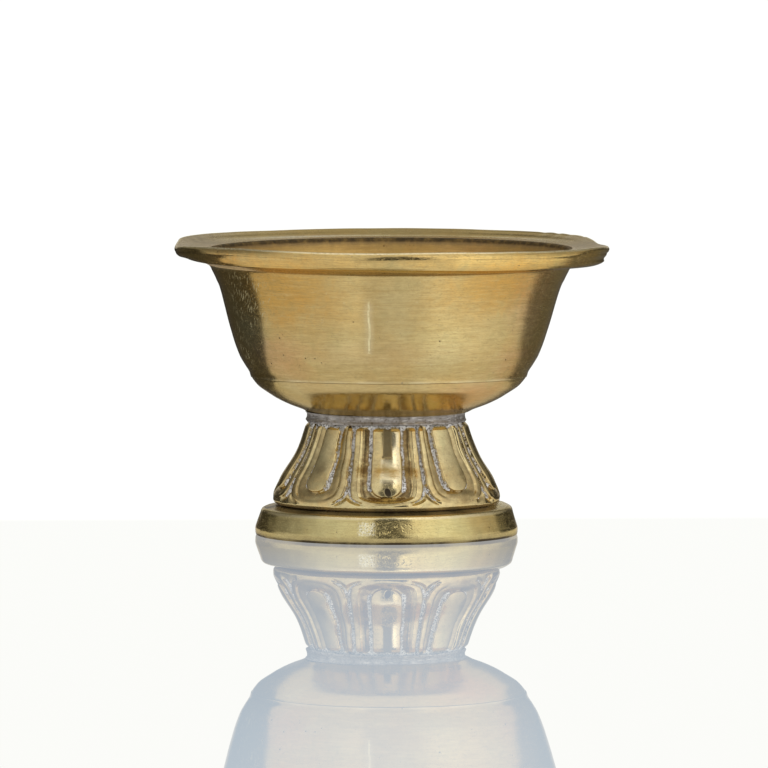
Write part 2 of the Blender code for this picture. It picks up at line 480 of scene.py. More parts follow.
def old_brass(place, along, clean, lines, rough, tarnish, patches):
    """Turned brass under tarnish, with its noises. Returns (finish, noises)."""
    turned = place.z + place.radius * along
    noises = brass_noises(place, turned)

    def dulled(red, green, blue):
        return (clean[0] * red, clean[1] * green, clean[2] * blue)

    line = noises.fine.rise(0.50, 0.70)
    spots = noises.speck.rise(0.62, 0.76) * noises.stain.rise(0.42, 0.62)
    holes = pit_holes(place, noises.pit_gate)
    # scratches from cleaning, mostly level
    across = scratches(place.swept(26.0, turned * 1.9), scale=0.35)
    slanted = scratches(place.point, scale=0.20, thin=0.004)
    marks = across.math("MAXIMUM", slanted * 0.8)
    flecks = scratches(place.swept(34.0, turned * 4.6), scale=0.8, thin=0.02)

    # how far each stands up or cuts in
    height = noises.fine * (0.55 * lines) + noises.broad * (0.9 * lines)
    height = height + noises.hair * (0.55 * lines) + noises.speck * 0.22 + noises.mottle * 0.45
    height = height - holes * 1.2 - marks * 1.1 + flecks * lines

    finish = Finish(clean, rough + (noises.stain - 0.5) * 0.12, height)
    # warm and olive clouds
    cover = finish.cover
    cover(noises.cloud.rise(0.42, 0.66), dulled(0.98, 0.84, 0.66), share=0.80 * tarnish)
    cover(noises.stain.rise(0.48, 0.68), dulled(0.80, 0.86, 0.86), share=0.68 * tarnish)
    for *where, tint, strength in patches:
        finish.tint(patch(place, noises.stain, *where), tint, strength)
    cover(noises.mottle.rise(0.40, 0.66), dulled(0.62, 0.60, 0.60), share=0.48 * tarnish)
    # turning lines
    cover(noises.broad.rise(0.45, 0.72), dulled(0.74, 0.66, 0.56), share=0.20 * lines)
    cover(line, dulled(0.60, 0.54, 0.46), share=0.24 * lines, rough=0.04)
    cover(noises.hair.rise(0.46, 0.62), dulled(0.55, 0.50, 0.44), share=0.26 * lines)
    cover(noises.level.rise(0.52, 0.64), dulled(0.66, 0.58, 0.46), share=0.20 * lines)
    cover(noises.level.fall(0.36, 0.48), dulled(1.22, 1.26, 1.38), share=0.16 * lines)
    # small brown spots, pits and scratches
    cover(spots, (0.20, 0.125, 0.055), share=0.64 * tarnish, rough=0.22)
    cover(holes, (0.10, 0.065, 0.03), share=0.72, rough=0.3)
    cover(marks, (0.80, 0.70, 0.46), share=0.22)
    return finish, noises


def add_painted_shine(finish, place, noises, bearing, low, high):
    """One thin upright line from low to high, a painted highlight, with a faint painted glow beside
    it.
    """
    wander = combine(place.z * 0.10, 3.0, 5.0).noise(scale=1.0, detail=3.0, rough=0.6)
    turn = abs(place.degrees_past(bearing) + (wander - 0.5) * 2.6)
    in_front = place.facing(bearing).rise(0.8, 0.9)
    ends = (place.z + (noises.speck - 0.5) * 5.0).between(low, high, soft=1.5)
    broken = noises.mottle.rise(0.35, 0.5, start=0.45)
    line = turn.fall(0.14, 0.50) * in_front * (ends * broken)
    finish.cover(
        line * noises.speck.rise(0.36, 0.56, start=0.30, end=0.85), (0.92, 0.80, 0.44)
    )
    beside_it = turn.fall(0.3, 2.4) * in_front * ends
    finish.cover(beside_it, (0.95, 0.88, 0.62), share=0.16)


def add_dimples(finish, place, noises, dimples):
    """Knocks, close together."""
    for *where, size in dimples:
        here = patch(place, noises.stain, *where)
        cup = place.point.cells(size).fall(0.10, 0.42)
        finish.height = finish.height - cup * here * 2.6


def add_brushing(finish, place, noises, brushed):
    """Slanting marks from a wire brush."""
    for where in brushed:
        here = patch(place, noises.stain, *where)
        turn = place.degrees_past(where[0])
        slant = combine(turn * 1.5 - place.z * 1.1, turn * 0.22 + place.z * 0.26, 1.0)
        stroke = slant.noise(scale=1.0, detail=2.0, rough=0.6).rise(0.57, 0.66) * here
        finish.cover(stroke, (0.66, 0.60, 0.36), share=0.75, dull=0.55)


def add_wear(tree, finish, place, mottle):
    """What the meshes' attributes mark."""
    # oil has left the inside warmer, and shade is painted dark into corners, creases and recesses
    finish.tint(attribute(tree, "inside"), (0.98, 0.78, 0.50), share=0.85)
    finish.roughness = finish.roughness + attribute(tree, "inside") * 0.30
    # painted shade: patchy, and near black where it is thickest
    painted_shade = attribute(tree, "painted_shade") * mottle.rise(0.30, 0.62, start=0.62)
    thick = attribute(tree, "painted_shade").rise(0.70, 0.95)
    shade_colour = mix(thick, (0.26, 0.185, 0.092), (0.07, 0.048, 0.022))
    finish.cover(painted_shade, shade_colour, rough=0.30, dull=0.55)
    # painted highlights on bright edges and beside the front petal's dark streak
    painted_highlight = attribute(tree, "painted_highlight") * mottle.rise(0.30, 0.55, start=0.35)
    finish.cover(painted_highlight, (0.90, 0.78, 0.50))
    # painted light on the rim's underside, a bluish painted sheen in the dish, painted sparkle on
    # the dings and the dab, and marks painted black: a dent and a dark reflected streak
    finish.cover(attribute(tree, "bare"), (1.0, 0.72, 0.38), dull=0.9)
    haze = attribute(tree, "haze") * mottle.rise(0.30, 0.60, start=0.50)
    finish.cover(haze, (0.80, 0.83, 0.86), dull=0.35)
    sparkle = place.point.noise(scale=1.9, detail=3.0, rough=0.7).rise(0.49, 0.56, start=0.08)
    finish.cover(attribute(tree, "painted_glint") * sparkle, (1.0, 0.95, 0.74), dull=0.40)
    hole = attribute(tree, "hole")
    finish.cover(hole, (0.022, 0.015, 0.008), rough=0.45)
    finish.metal = finish.metal * (1.0 - hole)


def add_residue(tree, finish, place):
    """Pale residue of old cleaning paste packed in the grooves, and brown beside it: staining
    deepened with painted shade.
    """
    residue = attribute(tree, "residue")
    grain = place.point.noise(scale=1.5, detail=5.0, rough=0.75)
    coarse = place.point.noise(scale=0.42, detail=3.0, rough=0.6)
    thin = coarse.rise(0.28, 0.62, start=0.40)
    brown = attribute(tree, "dirt").math("MULTIPLY", thin, clamp=True)
    finish.cover(brown, (0.245, 0.155, 0.062), rough=0.12)
    packed = residue * 1.45 + (grain - 0.5) * 1.7 + (coarse - 0.5) * 1.2
    packed = packed.rise(0.45, 0.85) * residue.rise(0.04, 0.25)
    white = mix(coarse.rise(0.35, 0.65), (0.62, 0.60, 0.56), (0.98, 0.97, 0.95))
    pale = mix(grain.rise(0.40, 0.54), (0.10, 0.085, 0.065), white)
    finish.cover(packed, pale, dull=0.9)
    finish.roughness = finish.roughness * (1.0 - packed) + packed * 0.6
    finish.height = finish.height + packed * grain * 6.5


def brass_material(
    name, along, clean, lines, rough, tarnish,
    patches=(), painted_shine=None, dimples=(), brushed=(), chased=False,
):
    """Old turned brass, kept bright by handling.

    along sets how a turning line's place depends on the radius as well as the height, so that
    lines run round the piece on its walls and on its flats. clean is the untarnished colour; lines
    and tarnish are the strengths of those.
    """
    material, tree = new_material(name)
    place = Place(tree)
    finish, noises = old_brass(place, along, clean, lines, rough, tarnish, patches)
    if painted_shine:
        add_painted_shine(finish, place, noises, *painted_shine)
    add_dimples(finish, place, noises, dimples)
    add_brushing(finish, place, noises, brushed)
    add_wear(tree, finish, place, noises.mottle)
    if chased:
        add_residue(tree, finish, place)
    return paint(material, {
        "Base Color": finish.colour,
        "Metallic": finish.metal,
        "Specular Tint": (0.86, 0.76, 0.56),
        "Roughness": finish.roughness.math("MAXIMUM", 0.05),
        "Normal": finish.height.bump(0.000022),
    })


# ==================================================================================================
# other materials
# ==================================================================================================
def solder_material(name):
    material, tree = new_material(name)
    place = Place(tree)
    cloud = place.point.noise(scale=0.16, detail=5.0, rough=0.65)
    grain = place.point.noise(scale=1.2, detail=5.0, rough=0.7)
    scrape = place.swept(9.0, place.z * 2.4).noise(scale=1.0, detail=3.0, rough=0.6)
    colour = mix(cloud.rise(0.35, 0.68), (0.26, 0.235, 0.21), (0.47, 0.435, 0.40))
    colour = mix(grain.rise(0.50, 0.66) * 0.8, colour, (0.13, 0.105, 0.075))
    colour = mix(scrape.rise(0.54, 0.66) * 0.6, colour, (0.80, 0.77, 0.73))
    return paint(material, {
        "Base Color": colour,
        "Metallic": 0.85,
        "Roughness": 0.34 + grain * 0.3,
        "Normal": (grain * 1.0 + scrape * 1.4).bump(0.00012),
    })


def braze_material(name):
    material, tree = new_material(name)
    point = millimetres(tree)
    grain = point.noise(scale=0.9, detail=5.0, rough=0.7)
    cloud = point.noise(scale=0.2, detail=3.0, rough=0.6)
    colour = mix(cloud.rise(0.3, 0.7), (0.50, 0.31, 0.15), (0.30, 0.19, 0.10))
    colour = mix(grain.rise(0.5, 0.7) * 0.6, colour, (0.14, 0.085, 0.05))
    return paint(material, {
        "Base Color": colour,
        "Metallic": 0.9,
        "Roughness": 0.32 + grain * 0.3,
        "Normal": grain.bump(0.0001),
    })


def bamboo_material(name):
    material, tree = new_material(name)
    place = Place(tree)
    fibre = place.swept(7.0, place.z * 0.12).noise(scale=1.0, detail=5.0, rough=0.7)
    cloud = place.point.noise(scale=0.2, detail=3.0, rough=0.6)
    colour = mix(fibre, (0.46, 0.31, 0.15), (0.66, 0.50, 0.28))
    colour = mix(cloud.rise(0.45, 0.75, end=0.6), colour, (0.25, 0.15, 0.07))
    return paint(material, {
        "Base Color": colour,
        "Roughness": fibre.rise(0.2, 0.8, start=0.5, end=0.75),
        "Normal": fibre.bump(0.00012),
    })


def cotton_material(name):
    """Pale wool, with painted shade between the strands, browned and then black towards its tip."""
    material, tree = new_material(name)
    point = millimetres(tree)
    wool = point.noise(scale=2.2, detail=6.0, rough=0.75)
    cloud = point.noise(scale=0.25, detail=3.0, rough=0.6)
    shade_between_strands = attribute(tree, "twist").rise(0.0, 0.55, start=0.5, end=0.0)
    colour = mix(wool, (0.62, 0.57, 0.45), (0.84, 0.80, 0.70))
    colour = mix(shade_between_strands, colour, (0.46, 0.39, 0.27))
    singe = point.split()[2] + (cloud - 0.5) * 7.0
    browned = singe.rise(COTTON_TIP - 9.0, COTTON_TIP - 3.5)
    colour = mix(browned, colour, (0.20, 0.13, 0.075))
    charred = singe.rise(COTTON_TIP - 5.0, COTTON_TIP - 1.0)
    colour = mix(charred, colour, (0.022, 0.018, 0.015))
    return paint(material, {
        "Base Color": colour,
        "Roughness": 0.92,
        "Sheen Weight": 0.35,
        "Sheen Roughness": 0.5,
        "Normal": wool.bump(0.00025),
    })


# ==================================================================================================
# tarnish patches, marks and the materials made with them
# ==================================================================================================
ORANGE = (1.0, 0.79, 0.52)
ROSE = (1.0, 0.87, 0.98)
PALE = (1.0, 1.10, 1.20)
GREY = (0.94, 1.0, 1.12)

# patches: (bearing, height, half width in degrees, half height, tint, strength)
WALL_PATCHES = (
    (-44, 80, 32, 14, (1.0, 0.77, 0.46), 1.0),
    (38, 81, 27, 10, (0.98, 0.77, 0.48), 0.95),
    (0, 52, 200, 8, (0.85, 0.83, 0.81), 0.85),
    (58, 76, 16, 16, ROSE, 0.8),
    (-48, 58, 20, 9, ROSE, 0.9),
    (58, 56, 18, 8, ROSE, 0.9),
    # the next two patches are painted reflection: the colour of the dark strips reflected at the
    # left and right
    (-62, 72, 15, 20, (0.86, 1.04, 1.42), 0.85),
    (68, 64, 12, 16, (0.84, 0.86, 0.88), 0.8),
    (18, 62, 16, 12, PALE, 0.8),
    (0, 72, 12, 20, GREY, 0.5),
    (-14, 62, 12, 8, PALE, 0.4),
    (38, 89.8, 38, 4, (1.38, 1.26, 1.0), 1.0),
    (-50, 89.5, 20, 4, (1.15, 1.22, 1.42), 0.8),
    (-22, 89.5, 32, 4, (1.16, 1.08, 0.94), 0.9),
    (-58, 89, 16, 4, ORANGE, 0.45),
    (-4, 60, 40, 5, ROSE, 0.25),
    (112, 66, 22, 14, ORANGE, 0.8),
    (150, 78, 24, 12, ROSE, 0.8),
    (182, 62, 26, 12, ORANGE, 0.8),
    (214, 80, 22, 10, PALE, 0.7),
    (244, 66, 22, 14, ORANGE, 0.8),
    (278, 60, 18, 12, GREY, 0.7),
)
PAN_PATCHES = (
    (44, 45, 26, 7, ROSE, 1.0),
    (40, 44, 22, 6, ORANGE, 0.4),
    (-44, 45, 28, 7, GREY, 0.9),
    (150, 45, 30, 7, ROSE, 0.8),
    (230, 45, 30, 7, ORANGE, 0.5),
)
RING_PATCHES = (
    (30, 5, 16, 5, (1.04, 1.12, 1.16), 0.8),
    # the next two patches are painted highlights, on the dings in front and on the solder dab
    (-9.8, 5.0, 3.6, 2.6, (1.3, 1.38, 1.6), 1.0),
    (84, 9.4, 9, 1.3, (1.15, 1.3, 1.7), 0.9),
    (-30, 5, 20, 6, PALE, 0.5),
    (52, 6, 18, 5, ORANGE, 0.4),
    (130, 5, 24, 5, ORANGE, 0.5),
    (220, 5, 30, 5, ROSE, 0.6),
)
# groups of knocks: (bearing, height, half width in degrees, half height, cell scale)
RING_DIMPLES = (
    (-9.5, 5.0, 5.5, 2.6, 1.5), (8.0, 5.2, 9.0, 1.4, 1.0), (-1.0, 4.2, 7.0, 1.6, 0.8),
    (24, 4.5, 10.0, 1.2, 0.9), (150, 5, 20, 2.0, 0.9), (-120, 5, 16, 2.0, 1.0),
)
# wire-brushed places: (bearing, height, half width in degrees, half height)
WALL_BRUSHED = ((-58, 76, 15, 13), (-70, 60, 8, 9), (150, 74, 16, 9), (-140, 66, 14, 9))
WALL_SHINE = (-7.1, 60.5, 76.5)  # (bearing, lowest, highest)

BOWL_BRASS = brass_material(
    "bowl_brass", along=0.35, clean=(0.635, 0.485, 0.21), lines=1.2, rough=0.12, tarnish=0.58,
    patches=WALL_PATCHES, painted_shine=WALL_SHINE, brushed=WALL_BRUSHED,
)
PAN_BRASS = brass_material(
    "pan_brass", along=0.9, clean=(0.61, 0.46, 0.205), lines=1.0, rough=0.13, tarnish=0.5,
    patches=PAN_PATCHES,
)
RING_BRASS = brass_material(
    "ring_brass", along=-0.6, clean=(0.67, 0.55, 0.245), lines=0.9, rough=0.11, tarnish=0.45,
    patches=RING_PATCHES, dimples=RING_DIMPLES,
)
FOOT_BRASS = brass_material(
    "foot_brass", along=-0.5, clean=(0.74, 0.61, 0.315), lines=0.3, rough=0.095, tarnish=0.9,
    chased=True,
)
RIVET_BRASS = brass_material(
    "rivet_brass", along=0.3, clean=(0.55, 0.42, 0.20), lines=0.8, rough=0.27, tarnish=0.6
)
SOLDER = solder_material("soft_solder_metal")
BRAZE = braze_material("brazing_run")
BAMBOO = bamboo_material("split_bamboo")
COTTON = cotton_material("cotton_fibre")


# ==================================================================================================
# bowl
# ==================================================================================================
# the lip was worked by hand, and has been knocked at both sides: (bearing, rise)
LIP_LIFT = (
    (-180, 0.0), (-150, -0.15), (-128, 0.05), (-112, 0.20), (-104, -0.05), (-98, -0.35),
    (-94, -1.15), (-88, -1.75), (-82, -1.45), (-76, -0.95), (-68, -0.35), (-58, 0.05),
    (-44, 0.45), (-28, 0.15), (-12, 0.0), (0, 0.0), (14, 0.25), (34, -0.20),
    (44, -0.50), (58, -0.75), (72, -0.85), (80, -1.20), (86, -1.60), (92, -1.90),
    (99, -2.10), (104, -1.70), (108, -1.05), (113, -0.45), (120, -0.15), (132, -0.05),
    (150, -0.10), (180, 0.0),
)
# the rise that the whole flare shares
FLARE_LIFT = ((-180, 0.0), (-90, 0.05), (0, 0.0), (90, -0.9), (180, 0.0))
# nicks in the lip: (bearing, depth, half width in degrees)
LIP_NICKS = (
    (134.0, 0.18, 1.5), (128.5, 0.22, 1.2), (123.0, 0.15, 1.6), (115.5, 0.16, 1.0),
    (-99.0, 0.25, 1.6),
)
# where the rim stands out from a circle: (bearing, distance, half width in degrees)
RIM_BULGES = ((101.0, -1.15, 6.0), (110.0, -0.7, 6.0), (88.0, 0.35, 6.0), (-97.0, -0.35, 4.0))


def round_the_rim(phi, table):
    """A smooth closed curve through (bearing, value) points."""
    bearings = np.linspace(-180, 180, 1441)
    values = np.interp(bearings[:-1], *zip(*table))
    kernel = np.exp(-(np.linspace(-1, 1, 41) ** 2) * 4.5)
    kernel /= kernel.sum()
    joined = np.concatenate([values[-20:], values, values[:20]])
    eased = np.convolve(joined, kernel, mode="valid")
    return np.interp(wrapped(phi), bearings, np.append(eased, eased[0]))


def bumps(phi, table):
    """The sum of bells at (bearing, size, half width)."""
    return sum(size * bell(wrapped(phi), at, width) for at, size, width in table)


def rim_lift(phi):
    angle = np.radians(phi)
    waves = 0.03 * np.sin(11 * angle + 1.0) + 0.02 * np.sin(23 * angle)
    return round_the_rim(phi, LIP_LIFT) + waves - bumps(phi, LIP_NICKS)


def rim_swell(phi):
    """How far the rim's edge stands out from a circle."""
    angle = np.radians(phi)
    swell = 0.05 * np.sin(2 * angle + 1.0) + 0.06 * np.sin(3 * angle)
    swell = swell + 0.03 * np.sin(9 * angle + 0.5) + 0.02 * np.sin(17 * angle)
    return swell + bumps(phi, RIM_BULGES)


def seam_tilt(phi, z):
    """The seam between wall and pan isn't quite level: it rises towards the front."""
    return 0.72 * np.cos(np.radians(phi)) * smooth(43.5, 49.3, z) * smooth(62.0, 51.0, z)


def wall_outline():
    """(radius, height) from the lip's top, down the outside and up the inside."""
    return loop(
        (66.9, 92.6),
        (0.12, [(67.2, 92.66), (67.45, 92.52), (67.65, 92.25)]),
        (0.20, [(68.1, 91.62), (68.28, 91.25)]),
        (0.20, [
            (68.4, 90.75), (68.42, 90.3), (68.2, 89.7), (67.75, 89.1), (67.15, 88.45),
            (66.6, 87.9), (66.1, 87.5),
        ]),
        (0.12, [(65.7, 87.18), (65.2, 86.95)]),
        (0.30, [(63.4, 86.5), (61.4, 86.12), (59.6, 85.78), (58.3, 85.45)]),
        (0.15, [(57.6, 85.2), (57.05, 84.85), (56.6, 84.3)]),
        (0.45, [
            (55.95, 83.0), (55.25, 81.6), (54.6, 80.2), (53.95, 78.9), (53.1, 76.4),
            (52.4, 73.9), (51.7, 71.3), (51.05, 68.8), (50.35, 66.3), (49.6, 63.8),
            (48.8, 61.2), (47.9, 58.7), (46.85, 56.2), (46.1, 54.9), (45.3, 53.6),
            (44.5, 52.4), (43.9, 51.4), (43.68, 50.7), (43.5, 50.1),
        ]),
        (0.12, [(43.4, 49.85), (43.25, 49.75), (42.9, 49.75)]),
        (0.9, [
            (42.5, 50.4), (43.6, 53.5), (45.9, 58.9), (47.4, 63.9), (48.8, 69.2),
            (50.2, 74.8), (51.8, 79.8), (53.4, 84.0), (54.75, 87.0), (55.4, 88.6),
            (55.75, 89.5),
        ]),
        (0.15, [(56.0, 89.95), (56.5, 90.2), (57.3, 90.3)]),
        (0.40, [
            (59.2, 90.36), (61.2, 90.5), (63.0, 90.78), (64.4, 91.2), (65.6, 91.75),
            (66.4, 92.25), (66.9, 92.6),
        ]),
    )


def work_wall(phi, radius, z):
    """The turned wall knocked out of true. Returns (radius, z)."""
    bearing = wrapped(phi)
    flare = smooth(56.5, 67.8, radius) * smooth(84.5, 90.0, z)
    lip = smooth(64.5, 68.0, radius) * smooth(86.0, 90.5, z)
    under = bell(radius, 62.5, 4.0) * smooth(83.0, 85.2, z) * smooth(90.0, 87.5, z)
    under = under * (radius > 55.5)
    sag = -0.95 * np.sin(np.radians(phi)) * (1 - 0.55 * bell(bearing, -50.0, 22.0))
    high = smooth(82.5, 88.0, z)

    # the flare's side is drawn in and let out
    taper = smooth(57.5, 65.5, radius) * smooth(86.0, 86.9, z)
    left_side = 2.0 * bell(bearing, -96.0, 22.0) * smooth(92.6, 88.6, z)
    left_side = left_side - 0.9 * bell(bearing, -52.0, 17.0) * smooth(90.4, 87.8, z)
    radius = radius - taper * left_side
    right_side = 0.7 * bell(bearing, 90.0, 26.0) * smooth(91.2, 90.4, z) * smooth(87.6, 89.2, z)
    right_side = right_side - 0.5 * bell(bearing, 92.0, 28.0) * smooth(88.6, 87.6, z)
    radius = radius - taper * right_side
    # the edge's upper bevel is worn in front only
    unworn = 1.05 - 0.75 * bell(bearing, -90.0, 12.0) - 0.3 * bell(bearing, 90, 12)
    unworn = unworn * smooth(48.0, 82.0, np.abs(bearing))
    radius = radius + unworn * smooth(91.0, 92.2, z) * smooth(65.6, 66.9, radius)
    uneven = ripple(phi, z, seed=5, waves=14, size=0.05, z_scale=9.0) * (1 - 0.7 * high)
    radius = radius + rim_swell(phi) * high * smooth(57, 66, radius) + uneven

    flare_lift = round_the_rim(phi, FLARE_LIFT)
    right_drop = 0.45 * bell(bearing, 92.0, 28.0) * smooth(60.0, 65.0, radius)
    z = z - right_drop * smooth(89.4, 87.5, z)
    z = z + seam_tilt(phi, z)
    z = z + (rim_lift(phi) - flare_lift) * lip + flare_lift * flare + sag * under
    return radius, z + ripple(phi, 0.0, seed=6, waves=10, size=0.10) * under


def mark_wall(wall, profile, phi):
    bearing = wrapped(phi)
    radius, z = profile.T[:, :, None]
    inner_limit = np.interp(
        z, [50, 58, 66, 76, 84, 89.7], [43.1, 47.0, 49.6, 52.0, 55.0, 57.3]
    )
    inner = (radius < inner_limit) & (z > 49.8)
    add_layer(wall, "inside", inner)

    # painted shade: a dark line in the mouth's corner running down the top of the inner wall, the
    # crease under the rim, and the dish darkening towards the sides, where it reflects darker
    # surroundings
    mouth = smooth(88.2, 89.2, z) * smooth(58.0, 56.9, radius)
    mouth = mouth + 0.35 * smooth(84.5, 88.6, z) * smooth(56.3, 56.0, radius) * inner
    crease = bell(radius, 58.2, 1.8) * bell(z, 85.2, 0.8)
    dish = smooth(57.0, 58.5, radius) * smooth(68.0, 66.8, radius) * (z > 90.2)
    sides = 0.12 + 0.60 * smooth(0.55, 0.97, np.abs(np.sin(np.radians(phi))))
    sides = sides + 0.10 * ripple(phi * 2, 0.0, seed=71, waves=10, size=1.0)
    painted_shade = np.maximum(np.maximum(np.clip(mouth, 0, 1), 0.35 * crease), dish * sides)
    add_layer(wall, "painted_shade", np.clip(painted_shade, 0, 1))

    # painted highlights: a bright line along the lip's top edge, and the wall's lower edge at the
    # seam catching light
    bright_edge = 0.75 * smooth(66.7, 67.1, radius) * (z > 92.2)
    turned_edge = 0.42 * smooth(50.5, 50.2, z) * (radius > 43.3)
    patchy = 0.7 + 0.5 * ripple(phi * 2, 0.0, seed=74, waves=12, size=1.0)
    add_layer(wall, "painted_highlight", bright_edge + turned_edge * np.clip(patchy, 0.2, 1.0))

    # painted light: the rim's underside at the left painted a dull orange as if lit
    below = (z < 87.2) * (z > 85.2) * (radius > 57.8) * smooth(65.9, 64.9, radius)
    add_layer(
        wall, "bare", 0.85 * below * smooth(-105, -88, bearing) * smooth(-40, -50, bearing)
    )
    # a bluish painted sheen in the dish at the back, standing in for its reflection of the backdrop
    sheen_band = smooth(57.4, 58.6, radius) * smooth(65.0, 60.8, radius) * (z > 90.2)
    sheen_left = 0.36 * smooth(-186, -158, bearing) * smooth(-128, -150, bearing)
    sheen_right = 0.22 * smooth(118, 134, bearing) * smooth(156, 138, bearing)
    add_layer(wall, "haze", sheen_band * (sheen_left + sheen_right))


def bowl_wall():
    profile = wall_outline()
    phi, radius, z = spin(profile, 720)
    wall = lattice("bowl_wall_turned", to_points(phi, *work_wall(phi, radius, z)), BOWL_BRASS)
    mark_wall(wall, profile, phi)
    hand_over(wall, "bowl_wall")


def bowl_pan():
    profile = loop(
        (43.1, 53.2),
        (0.6, [(42.25, 50.6), (42.5, 49.72)]),
        (0.3, [
            (43.1, 49.66), (42.95, 49.3), (42.35, 48.5), (41.6, 47.6), (40.7, 46.75),
            (39.1, 45.65), (37.6, 44.7), (35.85, 43.6), (33.6, 42.4), (30.8, 41.15),
            (28.6, 40.35), (27.2, 39.8), (26.2, 39.3), (25.4, 38.9), (24.4, 38.7),
            (20.0, 38.4), (17.0, 38.2), (9.0, 37.6),
        ]),
        (1.2, [(2.7, 37.5)]),
        (1.0, [(2.7, 39.4)]),
        (0.8, [
            (11.0, 39.7), (19.0, 40.5), (26.0, 42.1), (31.4, 44.3), (35.5, 46.9),
            (38.4, 49.6), (40.4, 52.4), (41.6, 54.0), (42.4, 54.2), (43.1, 53.2),
        ]),
    )
    phi, radius, z = spin(profile, 512)
    outer = smooth(12, 30, radius) * (z < 49.4)
    radius = radius + ripple(phi, z, seed=8, waves=12, size=0.06, z_scale=6.0) * outer
    points = to_points(phi, radius, z + seam_tilt(phi, z))
    pan = lattice("bowl_pan_turned", points, PAN_BRASS)
    row_radius, row_z = profile.T[:, :, None]
    floor = np.interp(
        row_radius, [0, 12, 24, 32, 38, 42, 43.2], [38.6, 39.0, 40.4, 43.2, 47.6, 52.6, 53.4]
    )
    add_layer(pan, "inside", row_z > floor)
    add_layer(pan, "painted_shade", 0 * z)
    hand_over(pan, "bowl_pan")


def seam_braze():
    profile = loop(
        (44.2, 56.1),
        (0.25, [
            (43.85, 55.3), (43.5, 54.6), (43.0, 54.4), (42.6, 54.55), (42.75, 55.0),
            (43.4, 55.8), (44.2, 56.1),
        ]),
    )
    phi, radius, z = spin(profile, 512)
    blob = np.abs(ripple(phi * 3, z, seed=13, waves=10, size=0.07, z_scale=3.0))
    blob = blob * smooth(43.9, 42.9, radius)
    points = to_points(phi, radius - blob, z + seam_tilt(phi, z) + 0.8 * blob)
    hand_over(lattice("bowl_seam_braze_run", points, BRAZE), "bowl_seam_braze")


def neck_solder():
    profile = loop(
        (25.55, 39.0),
        (0.15, [
            (25.2, 38.7), (24.95, 38.2), (24.9, 37.5), (25.0, 36.95), (25.2, 36.5),
            (25.2, 36.15), (24.9, 35.95), (24.5, 36.4), (24.3, 37.4), (24.3, 38.3),
            (24.75, 38.75), (25.55, 39.0),
        ]),
    )
    phi, radius, z = spin(profile, 720)
    outer = smooth(24.6, 25.1, radius)
    lower = smooth(36.8, 36.0, z) * outer
    lump = ripple(phi * 2, z, seed=21, waves=12, size=0.13, z_scale=1.2)
    lump = lump + ripple(phi * 7, z, seed=22, waves=10, size=0.05, z_scale=0.6)
    radius = radius + lump * outer
    z = z + lower * ripple(phi * 3, 0.0, seed=23, waves=9, size=0.22)
    collar = lattice("neck_solder_ring", to_points(phi, radius, z, COLLAR_SHIFT), SOLDER)
    hand_over(collar, "neck_solder")


# ==================================================================================================
# foot
# ==================================================================================================
# bearings of the grooves between petals. Petals vary a little in width; the first faces -Y
GROOVES = np.array([-21.0, 21.0, 61.5, 101.0, 140.5, 180.0, 219.5, 259.0, 298.5, 339.0])
PETALS = len(GROOVES) - 1
SHOULDER_Z = 19.8  # the petals' sides run straight above this
PETAL_END_Z = 11.2


def petal_place(phi):
    """(petal's index, distance from its middle line as a share of its half width, signed)."""
    turn = (phi + 21.0) % 360.0 - 21.0
    index = np.clip(np.searchsorted(GROOVES, turn, side="right") - 1, 0, PETALS - 1)
    low, high = GROOVES[index], GROOVES[index + 1]
    return index, (2 * turn - low - high) / (high - low)


def petal_variety():
    """How the petals differ, one value for each petal."""
    rng = np.random.default_rng(77)
    made = SimpleNamespace(
        wide=1 + 0.05 * rng.normal(size=PETALS),
        deep=1 + 0.10 * rng.normal(size=PETALS),
        low=0.35 * rng.normal(size=PETALS),
        skew=0.025 * rng.normal(size=PETALS),
        stain=rng.uniform(0.35, 0.65, size=PETALS),
        shut=rng.uniform(0.0, 0.35, size=PETALS),
        knee=rng.uniform(0.50, 0.58, size=PETALS),
    )
    # the front petal
    made.knee[0] = 0.66
    made.wide[0], made.low[0], made.skew[0] = 1.06, 0.3, 0.0
    made.stain[0], made.shut[0] = 0.95, 1.0
    return made


